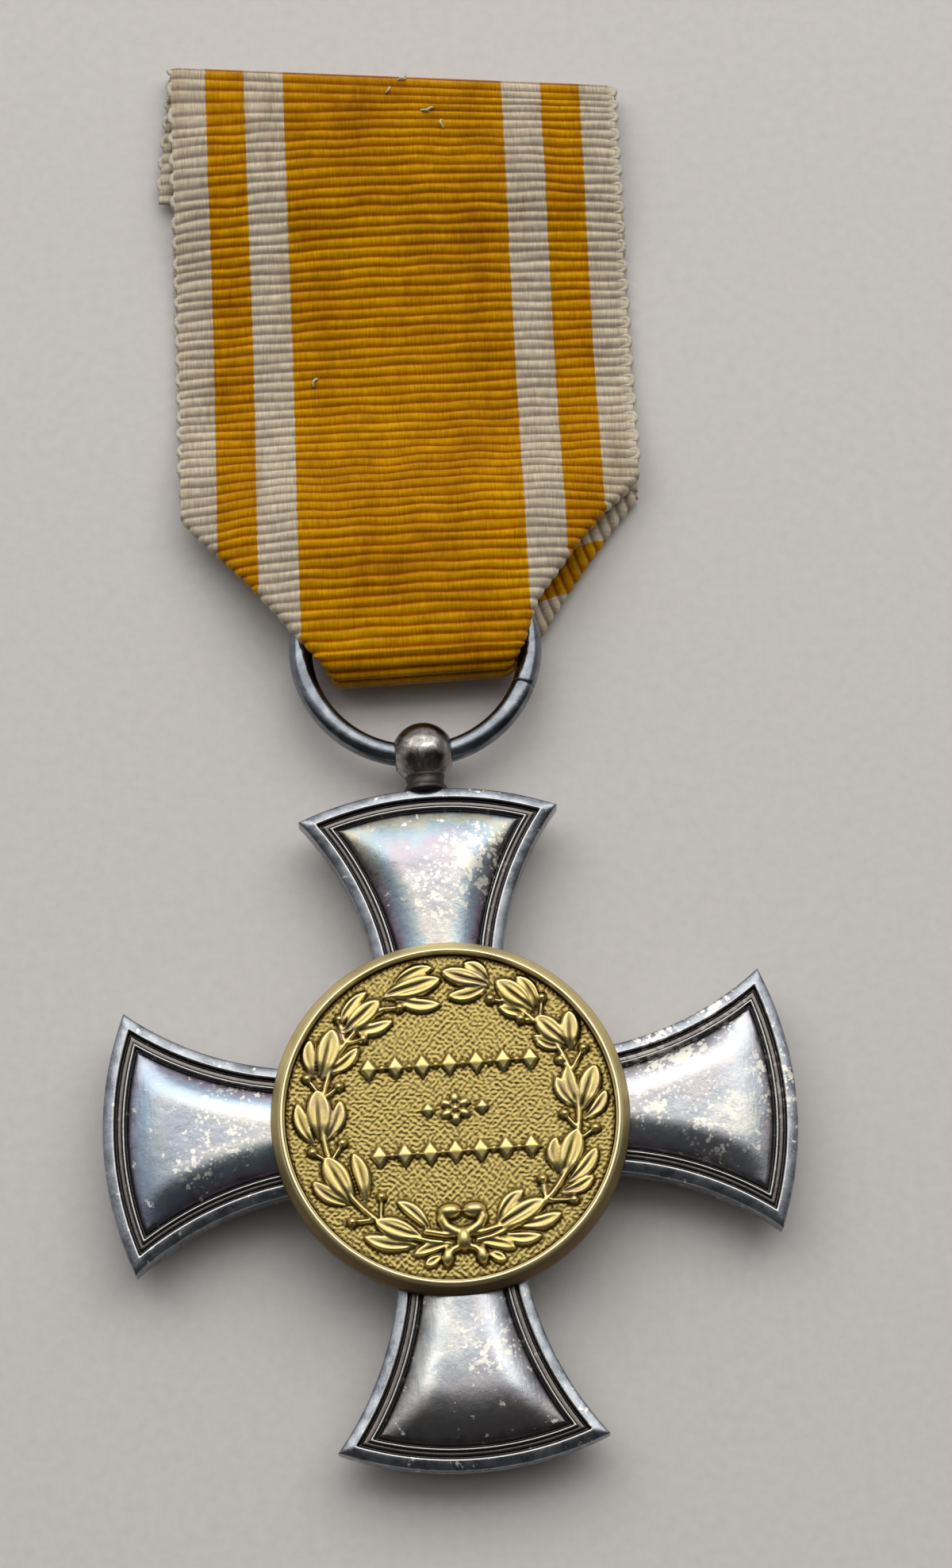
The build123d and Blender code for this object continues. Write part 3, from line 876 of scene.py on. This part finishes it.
class Nodes:
    """Short ways to add shader nodes to a material or to the world."""

    def __init__(self, owner):
        owner.use_nodes = True
        self.owner = owner
        self.tree = owner.node_tree

    def fill(self, socket, value):
        """Link a socket to another, or set it to a constant."""
        if isinstance(value, bpy.types.NodeSocket):
            self.tree.links.new(value, socket)
        elif isinstance(value, tuple) and socket.type == "RGBA":
            socket.default_value = (*value[:3], 1.0)
        else:
            socket.default_value = value

    def node(self, kind, inputs=None, **settings):
        """A new node of the kind named, with its inputs filled and its settings set."""
        made = self.tree.nodes.new("ShaderNode" + kind)
        for key, value in settings.items():
            setattr(made, key, value)
        for key, value in (inputs or {}).items():
            self.fill(made.inputs[key], value)
        return made

    def math(self, operation, a, b=0.0, clamp=False):
        return self.node("Math", {0: a, 1: b}, operation=operation, use_clamp=clamp).outputs[0]

    def add(self, a, b, clamp=False):
        return self.math("ADD", a, b, clamp)

    def sub(self, a, b):
        return self.math("SUBTRACT", a, b)

    def mul(self, a, b, clamp=False):
        return self.math("MULTIPLY", a, b, clamp)

    def top(self, a, b):
        """The larger of two."""
        return self.math("MAXIMUM", a, b)

    def size(self, a):
        """The value without its sign."""
        return self.math("ABSOLUTE", a)

    def flip(self, a):
        return self.math("SUBTRACT", 1.0, a)

    def value(self, name):
        """A number kept on the mesh by add_values."""
        return self.node("Attribute", attribute_name=name).outputs["Fac"]

    def position(self):
        """Object coordinates in millimetres."""
        coords = self.node("TexCoord").outputs["Object"]
        return self.node("VectorMath", {0: coords, "Scale": 1000.0}, operation="SCALE").outputs[0]

    def split(self, vector):
        return self.node("SeparateXYZ", {0: vector}).outputs

    def combined(self, x, y):
        return self.node("CombineXYZ", {0: x, 1: y}).outputs[0]

    def noise(self, vector, scale, detail=3.0, rough=0.55, distortion=0.0):
        inputs = {"Vector": vector, "Scale": scale, "Detail": detail, "Roughness": rough}
        return self.node("TexNoise", inputs | {"Distortion": distortion}).outputs["Fac"]

    def stretch(self, vector, scale):
        return self.node("Mapping", {"Vector": vector, "Scale": scale}).outputs[0]

    def ramp(self, fac, stops):
        made = self.node("ValToRGB", {"Fac": fac})
        elements = made.color_ramp.elements
        while len(elements) < len(stops):
            elements.new(0.5)
        for element, (position, colour) in zip(elements, stops):
            element.position = position
            element.color = (*colour, 1.0)
        return made.outputs["Color"]

    def smooth(self, x, low, high, start=0.0, end=1.0):
        """start below low, end above high, and a smooth slope between."""
        inputs = {"Value": x, "From Min": low, "From Max": high, "To Min": start, "To Max": end}
        return self.node("MapRange", inputs, interpolation_type="SMOOTHSTEP").outputs["Result"]

    def band(self, x, up_from, up_to, down_from, down_to):
        """0, then 1 from up_to to down_from, then 0 again."""
        return self.mul(self.smooth(x, up_from, up_to), self.flip(self.smooth(x, down_from, down_to)))

    def mix(self, fac, a, b, blend="MIX"):
        made = self.node("Mix", {0: fac}, data_type="RGBA", blend_type=blend)
        self.fill(made.inputs[6], a)
        self.fill(made.inputs[7], b)
        return made.outputs[2]

    def bump(self, height, strength, distance, normal=None):
        inputs = {"Height": height, "Strength": strength, "Distance": distance}
        if normal is not None:
            inputs["Normal"] = normal
        return self.node("Bump", inputs).outputs["Normal"]

    def connect(self, **sockets):
        """Fill the shader's sockets, an underscore standing for a space. Returns the owner."""
        shader = self.tree.nodes.get("Principled BSDF") or self.tree.nodes["Background"]
        for key, value in sockets.items():
            self.fill(shader.inputs[key.replace("_", " ")], value)
        return self.owner


def new_material(name):
    return Nodes(bpy.data.materials.new(name))


# places where the toning is worn through to bright silver: x, y, reach, strength
WORN_PLACES = (
    (12.6, 3.2, 3.6, 1.0), (15.6, 5.2, 2.6, 0.9), (11.6, 0.4, 3.0, 0.7), (15.5, -1.5, 3.6, 0.5),
    (2.4, 15.4, 3.0, 0.95), (0.6, 13.8, 3.4, 0.6), (-12.6, 0.6, 3.6, 0.5), (-14.5, -1.5, 2.6, 0.35),
    (1.6, -13.2, 3.0, 0.45), (18.6, 1.0, 4.0, 0.35),
)


def worn_mask(n, x, y):
    """1 in the middle of the worn places, falling to 0 at their reach."""
    flat = n.combined(x, y)
    mask = 0.0
    for place_x, place_y, reach, strength in WORN_PLACES:
        inputs = {0: flat, 1: (place_x, place_y, 0.0)}
        away = n.node("VectorMath", inputs, operation="DISTANCE").outputs["Value"]
        mask = n.top(mask, n.mul(n.flip(n.smooth(away, 0.0, reach)), strength))
    return mask


SILVER_TONES = [
    (0.38, (0.32, 0.37, 0.42)), (0.52, (0.45, 0.46, 0.46)), (0.62, (0.62, 0.61, 0.57)),
    (0.72, (0.43, 0.45, 0.48)), (0.84, (0.50, 0.47, 0.48)),
]
SILVER_FILM = [
    (0.0, (0.24, 0.18, 0.26)), (0.12, (0.50, 0.38, 0.50)), (0.3, (0.38, 0.48, 0.58)),
    (0.5, (0.50, 0.58, 0.60)), (0.7, (0.68, 0.64, 0.54)),
]
SILVER_BANDS = [
    (0.25, (0.27, 0.17, 0.29)), (0.38, (0.22, 0.30, 0.39)), (0.48, (0.38, 0.36, 0.25)),
    (0.58, (0.27, 0.35, 0.40)), (0.72, (0.36, 0.31, 0.35)),
]
RIM_TONES = [(0.35, (0.17, 0.18, 0.20)), (0.55, (0.32, 0.34, 0.37)), (0.75, (0.46, 0.46, 0.46))]


def toned_colour(n, at, x, y, inward, cloud):
    """Grey silver with films of blue, purple and straw, heavier to the top and left, and darker towards the
    bottom end.
    """
    drift = n.add(n.mul(cloud, 1.1), n.mul(n.noise(at, 0.42, 4.0), 0.35))
    film = n.ramp(n.math("DIVIDE", n.sub(inward, 1.3), 3.0), SILVER_FILM)
    upper_left = n.smooth(n.sub(y, x), -9.0, 9.0)
    film_share = n.mul(n.flip(n.smooth(inward, 2.2, 4.6)), n.add(0.15, n.mul(upper_left, 0.85)))
    film_share = n.mul(film_share, n.add(0.4, n.smooth(cloud, 0.35, 0.6)), clamp=True)
    colour = n.mix(film_share, n.ramp(drift, SILVER_TONES), film)
    blued = n.mul(n.flip(n.smooth(x, -18.0, -10.0)), 0.68)
    colour = n.mix(blued, colour, (0.27, 0.33, 0.41))
    wash = n.noise(n.stretch(at, (0.35, 0.1, 1.0)), 1.0, 5.0, 0.6, 0.8)
    bands = n.ramp(n.add(n.math("DIVIDE", inward, 9.0), n.mul(wash, 0.55)), SILVER_BANDS)
    heavy = n.mul(n.smooth(y, 12.0, 17.0), n.add(0.6, n.mul(wash, 0.6)), clamp=True)
    colour = n.mix(heavy, colour, bands)
    # darker towards the bottom end of the lower arm, mixed to a dark brown grey
    bottom_end_darkening = n.mul(n.flip(n.smooth(y, -18.6, -13.6)), 0.75)
    return n.mix(bottom_end_darkening, colour, (0.21, 0.18, 0.17))


def border_colour(n, colour, edge, fine, ledge):
    """The arms' border: a paler rim, crest and raised line, and black in the grooves beside them."""
    colour = n.mix(n.flip(n.smooth(edge, 0.62, 0.7)), colour, n.ramp(fine, RIM_TONES))
    colour = n.mix(n.mul(ledge, 0.93), colour, (0.045, 0.042, 0.042))
    colour = n.mix(n.mul(n.band(edge, 0.84, 0.88, 1.0, 1.06), 0.8), colour, (0.20, 0.175, 0.16))
    line = n.band(edge, 1.12, 1.17, 1.22, 1.28)
    crest = n.band(edge, 0.53, 0.57, 0.62, 0.67)
    return n.mix(n.mul(n.add(line, crest, clamp=True), 0.75), colour, (0.55, 0.54, 0.50))


def rubbed_spots(n, at, x, y, cloud, fine):
    """1 where the toning is rubbed through: ragged specks, and round dots in the worn places."""
    mask = worn_mask(n, x, y)
    specks = n.add(n.noise(at, 1.5, 5.0, 0.62), n.mul(mask, 0.17))
    dots = 0.0
    for pitch, size in ((1.35, 0.26), (3.2, 0.3)):
        away = n.node("TexVoronoi", {"Vector": at, "Scale": pitch}).outputs["Distance"]
        away = n.add(away, n.mul(n.sub(fine, 0.5), 0.5))
        dots = n.top(dots, n.flip(n.smooth(away, size - 0.05, size)))
    dots = n.mul(dots, n.smooth(n.add(mask, n.mul(cloud, 0.25)), 0.15, 0.5))
    return n.top(n.smooth(specks, 0.635, 0.67), n.mul(dots, 0.9))


def silver_material():
    """Struck silver: toned, black in the grooves and rubbed bright in spots."""
    n = new_material("toned_silver")
    at = n.position()
    x, y, _ = n.split(at)
    edge = n.math("MINIMUM", n.value("from_side"), n.value("from_end"))
    cloud = n.noise(at, 0.16, 5.0, 0.6, 0.6)
    fine = n.noise(at, 1.1, 6.0, 0.65)
    inward = n.add(edge, n.mul(n.sub(fine, 0.5), 1.1))
    colour = toned_colour(n, at, x, y, inward, cloud)
    grime = n.flip(n.smooth(inward, 1.35, 2.1))
    colour = n.mix(n.mul(grime, 0.7), colour, (0.07, 0.065, 0.065))
    ledge = n.band(edge, 0.62, 0.7, 1.36, 1.5)
    colour = border_colour(n, colour, edge, fine, ledge)
    bright = n.mul(rubbed_spots(n, at, x, y, cloud, fine), n.flip(n.mul(ledge, 0.85)))
    colour = n.mix(bright, colour, (0.88, 0.85, 0.76))
    rough = n.add(n.add(n.mul(fine, 0.2), 0.19), n.mul(bright, 0.2))
    scratches = n.noise(n.stretch(at, (5.0, 0.6, 1.0)), 1.0, 6.0, 0.7, 0.3)
    bump = n.bump(fine, 0.3, 0.0001, n.bump(scratches, 0.2, 0.00006))
    return n.connect(Base_Color=colour, Metallic=1.0, Roughness=rough, Normal=bump)


def gilt_material(name, roughness):
    """Matt gilding, with painted shade where the striking is deep and a painted highlight on the tops of the
    relief.
    """
    n = new_material(name)
    at = n.position()
    cavity, raised = n.value("cavity"), n.value("raised")
    cloud = n.noise(at, 0.5, 4.0, 0.6)
    gold = n.ramp(cloud, [(0.3, (0.50, 0.38, 0.12)), (0.55, (0.60, 0.47, 0.17)), (0.8, (0.68, 0.56, 0.24))])
    colour = n.mix(n.flip(raised), gold, (0.36, 0.275, 0.09))
    # painted shade: the hollows of the relief, found by the cavity values, are mixed to dark brown
    colour = n.mix(n.mul(n.smooth(cavity, 0.0, 0.045), 0.9), colour, (0.10, 0.065, 0.02))
    tarnish = n.mul(raised, n.smooth(n.noise(at, 0.55, 4.0, 0.6), 0.52, 0.66))
    colour = n.mix(n.mul(tarnish, 0.45), colour, (0.30, 0.20, 0.16))
    # painted highlight: the rounded tops of the raised relief are mixed to pale gold
    high = n.mul(raised, n.smooth(n.mul(cavity, -1.0), 0.0, 0.06))
    colour = n.mix(n.mul(high, 0.5), colour, (0.92, 0.79, 0.42))
    bump = n.bump(n.noise(at, 9.0, 3.0), 0.15, 0.00004)
    rough = n.add(n.mul(cloud, 0.12), roughness)
    return n.connect(Base_Color=colour, Metallic=1.0, Roughness=rough, Normal=bump)


def bezel_material():
    """The turned collar: satin with fine rings from turning; painted brown shade down its slope, heaviest on
    the lower side, painted shade on its outer wall and in its inner groove, and a painted highlight along its
    ridge.
    """
    n = new_material("gilt_collar")
    at = n.position()
    x, y, _ = n.split(at)
    radius = n.math("SQRT", n.add(n.mul(x, x), n.mul(y, y)))
    outer = BEZEL_RADIUS
    cloud = n.noise(at, 0.35, 4.0, 0.6)
    gold = n.ramp(cloud, [(0.3, (0.66, 0.53, 0.23)), (0.6, (0.80, 0.68, 0.34)), (0.85, (0.88, 0.78, 0.47))])
    # painted shade: the outer slope is mixed to dark brown, faintly all round and heavily on the lower side
    shaded_lower_side = n.flip(n.smooth(y, -9.0, 6.0))
    slope = n.mul(n.smooth(radius, outer - 0.52, outer - 0.35), n.add(0.03, n.mul(shaded_lower_side, 0.87)))
    colour = n.mix(slope, gold, (0.14, 0.085, 0.05))
    # painted shade on the steep outer wall
    wall = n.smooth(radius, outer - 0.06, outer - 0.01)
    colour = n.mix(n.mul(wall, 0.8), colour, (0.16, 0.10, 0.05))
    # painted highlight along the flat top of the ridge
    ridge = n.band(radius, outer - 0.72, outer - 0.68, outer - 0.59, outer - 0.55)
    colour = n.mix(n.mul(ridge, 0.85), colour, (0.98, 0.90, 0.62))
    # painted shade in the groove inside the ridge and down the step to the medallion
    groove_shade = n.flip(n.smooth(radius, outer - 0.84, outer - 0.8))
    colour = n.mix(groove_shade, colour, (0.12, 0.07, 0.02))
    rings = n.noise(n.combined(radius, n.mul(cloud, 0.2)), 9.0, 3.0)
    return n.connect(Base_Color=colour, Metallic=1.0, Roughness=0.46, Normal=n.bump(rings, 0.12, 0.00004))


def dark_metal(name, stops, rough, scratch_scale):
    """Darkened silver, paler where it is rubbed."""
    n = new_material(name)
    at = n.position()
    cloud = n.noise(at, 0.7, 5.0, 0.65, 0.4)
    bump = n.bump(n.noise(n.stretch(at, scratch_scale), 1.0, 5.0, 0.7), 0.3, 0.00006)
    roughness = n.add(n.mul(cloud, 0.3), rough)
    return n.connect(Base_Color=n.ramp(cloud, stops), Metallic=1.0, Roughness=roughness, Normal=bump)


YELLOW = [(0.3, (0.47, 0.205, 0.001)), (0.55, (0.585, 0.28, 0.001)), (0.75, (0.68, 0.365, 0.002))]
CREAM = [(0.3, (0.56, 0.49, 0.37)), (0.7, (0.68, 0.60, 0.46))]


def ribbon_material():
    """Ribbed silk with lengthwise stripes; fine warp threads cross each rib, and painted shade darkens the
    valleys between the ribs.
    """
    n = new_material("striped_silk")
    at = n.position()
    across, along = n.value("across"), n.value("along")
    coords = n.combined(across, along)
    off = n.size(n.add(across, n.mul(n.sub(n.noise(at, 3.0, 2.0), 0.5), 0.16)))
    changes = [n.smooth(off, edge - 0.04, edge + 0.04) for edge in STRIPES]
    white = n.add(n.sub(changes[0], changes[1]), changes[2], clamp=True)
    patch = n.noise(at, 0.22, 4.0, 0.6)
    dye = n.mix(white, n.ramp(patch, YELLOW), n.ramp(patch, CREAM))
    warp = n.noise(n.stretch(coords, (9.0, 0.9, 1.0)), 1.0, 3.0, 0.6)
    thread = n.mix(n.smooth(warp, 0.3, 0.7), (0.45, 0.42, 0.4), (1.15, 1.12, 1.1))
    colour = n.mix(0.45, dye, thread, "MULTIPLY")
    rib = n.size(n.math("SINE", n.mul(along, math.pi / RIB)))
    # painted shade: the valleys between the ribs are darkened, brown-orange on the yellow and grey on the
    # white
    rib_valley_shade = n.mul(n.flip(n.smooth(rib, 0.1, 0.85)), 0.92)
    shade = n.mix(white, (0.46, 0.22, 0.06), (0.42, 0.38, 0.40))
    colour = n.mix(rib_valley_shade, colour, shade, "MULTIPLY")
    streak = n.smooth(n.noise(n.stretch(coords, (0.3, 1.5, 1.0)), 1.0, 4.0, 0.7), 0.35, 0.65)
    colour = n.mix(0.5, colour, n.mix(streak, (0.62, 0.58, 0.52), (1.2, 1.18, 1.12)), "MULTIPLY")
    stain = n.smooth(n.noise(n.stretch(coords, (0.45, 0.06, 1.0)), 1.0, 4.0, 0.6), 0.5, 0.68)
    colour = n.mix(n.mul(stain, 0.4), colour, (0.62, 0.47, 0.28), "MULTIPLY")
    n.connect(Base_Color=colour, Specular_Tint=dye, Specular_IOR_Level=0.3)
    return n.connect(Roughness=0.45, Normal=n.bump(warp, 0.35, 0.00005))


def thread_material(name, low, high):
    """Twisted thread, from a low to a high colour."""
    n = new_material(name)
    at = n.position()
    twist = n.noise(n.stretch(at, (4.0, 9.0, 4.0)), 1.0, 3.0)
    colour = n.ramp(twist, [(0.3, low), (0.7, high)])
    return n.connect(Base_Color=colour, Roughness=0.7, Normal=n.bump(twist, 0.5, 0.00008))


def floor_material():
    """A plain pale matt floor."""
    n = new_material("floor")
    grain = n.noise(n.position(), 1.5, 4.0)
    colour = n.ramp(grain, [(0.3, (0.60, 0.575, 0.55)), (0.7, (0.64, 0.61, 0.585))])
    return n.connect(Base_Color=colour, Roughness=0.75, Normal=n.bump(grain, 0.1, 0.0001))


def paint(obj, material):
    """Give the object this one material."""
    obj.data.materials.clear()
    obj.data.materials.append(material)
    return obj


# ---- build ----

def add_piece(obj, material, body, slot, *nodes):
    """Paint a piece and hang it on its body, in place of the CAD nodes named."""
    paint(obj, material)
    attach(obj, body)
    if nodes:
        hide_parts(*nodes)
    return obj


silver = silver_material()
gilt = gilt_material("gilt_struck", 0.26)
back_gilt = gilt_material("gilt_rubbed_back", 0.34)
collar = bezel_material()
wire = dark_metal(
    "darkened_wire",
    [(0.35, (0.12, 0.13, 0.145)), (0.58, (0.22, 0.235, 0.26)), (0.8, (0.42, 0.44, 0.46))],
    0.06, (1.0, 1.0, 1.0),
)
ball_metal = dark_metal(
    "darkened_ball",
    [(0.35, (0.10, 0.085, 0.08)), (0.5, (0.30, 0.275, 0.255)), (0.66, (0.84, 0.81, 0.76))],
    0.04, (6.0, 1.2, 6.0),
)
foot_metal = dark_metal(
    "grimy_foot",
    [(0.35, (0.03, 0.026, 0.024)), (0.6, (0.09, 0.08, 0.07)), (0.8, (0.22, 0.20, 0.18))],
    0.25, (2.0, 2.0, 2.0),
)
cloth = ribbon_material()
cream_thread = thread_material("selvedge_thread", (0.42, 0.37, 0.27), (0.66, 0.61, 0.50))
green_thread = thread_material("sewing_thread", (0.40, 0.42, 0.22), (0.66, 0.67, 0.45))

add_piece(cross_half("cross_front", 1), silver, "cross", "silver", "cross_front_shell")
add_piece(cross_half("cross_back", -1), silver, "cross", "silver", "cross_back_shell")
add_piece(medallion("medallion_front", 308, front_design, 1), gilt, "cross", "gilt", "front_medallion")
add_piece(medallion("medallion_back", 120, back_design, -1), back_gilt, "cross", "gilt", "back_medallion")
add_piece(bezel("collar_front", 1), collar, "cross", "gilt", "front_bezel")
add_piece(bezel("collar_back", -1), back_gilt, "cross", "gilt", "back_bezel")
add_piece(ball(), ball_metal, "cross", "silver", "suspension_ball")
add_piece(foot(), foot_metal, "cross", "silver", "suspension_foot")
add_piece(ring(), wire, "ring", "ring_wire", "suspension_ring")
paint(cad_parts["centre_rivet"], collar)

strip = paint(ribbon(), cloth)
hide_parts("ribbon_lower", "ribbon_upper")
loops = paint(selvedge(), cream_thread)
for piece in (strip, loops):
    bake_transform(piece)
add_piece(threads(), green_thread, "ribbon_strap", "thread", "ribbon_threads")

# ---- stage, light and camera ----

FLOOR_HALF = 900
CAMERA_PLACE = (-0.002772, -0.043753, 0.208675)
CAMERA_TURN = (17.3233, -0.2636, -4.3024)   # degrees about X, Y and Z, from looking straight down


def stage():
    """A plain floor that the medal lies on."""
    corners = [(-1, -1), (1, -1), (1, 1), (-1, 1)]
    verts = [(x * FLOOR_HALF, y * FLOOR_HALF, 0) for x, y in corners]
    floor = new_object("floor", verts, [(0, 1, 2, 3)], smooth=False)
    paint(floor, floor_material())


def area_light(name, place_at, aim, size, power, colour):
    """A rectangular light pointed at a place."""
    light = bpy.data.lights.new(name, "AREA")
    light.shape = "RECTANGLE"
    light.size, light.size_y = size
    light.energy = power
    light.color = colour
    obj = bpy.data.objects.new(name, light)
    obj.location = place_at
    obj.rotation_euler = (Vector(aim) - Vector(place_at)).to_track_quat("-Z", "Y").to_euler()
    bpy.context.scene.collection.objects.link(obj)


def world_light():
    """A room with a soft bright ceiling, dimmer to the sides and dark on the near side."""
    world = bpy.data.worlds.new("studio")
    bpy.context.scene.world = world
    n = Nodes(world)
    x, y, _ = n.split(n.node("TexCoord").outputs["Generated"])
    near_side = n.smooth(y, -0.22, 0.12, 0.07, 0.78)
    sides = n.mul(n.smooth(x, -0.95, -0.45, 0.65, 1.0), n.smooth(x, 0.45, 0.85, 1.0, 0.5))
    n.connect(Strength=n.mul(near_side, sides), Color=(0.98, 0.985, 1.0, 1.0))


def camera():
    """A camera above the medal, leaning back towards its lower end."""
    data = bpy.data.cameras.new("camera")
    data.sensor_width = 36.0
    data.lens = 83.51
    data.clip_start, data.clip_end = 0.01, 10.0
    obj = bpy.data.objects.new("camera", data)
    obj.location = CAMERA_PLACE
    obj.rotation_euler = [math.radians(turn) for turn in CAMERA_TURN]
    bpy.context.scene.collection.objects.link(obj)
    bpy.context.scene.camera = obj


stage()
area_light("window", (0.03, 0.31, 0.42), (0, 0.02, 0), (1.0, 0.42), 2.25, (1.0, 0.985, 0.96))
world_light()
camera()
bpy.context.scene.view_settings.view_transform = "Standard"
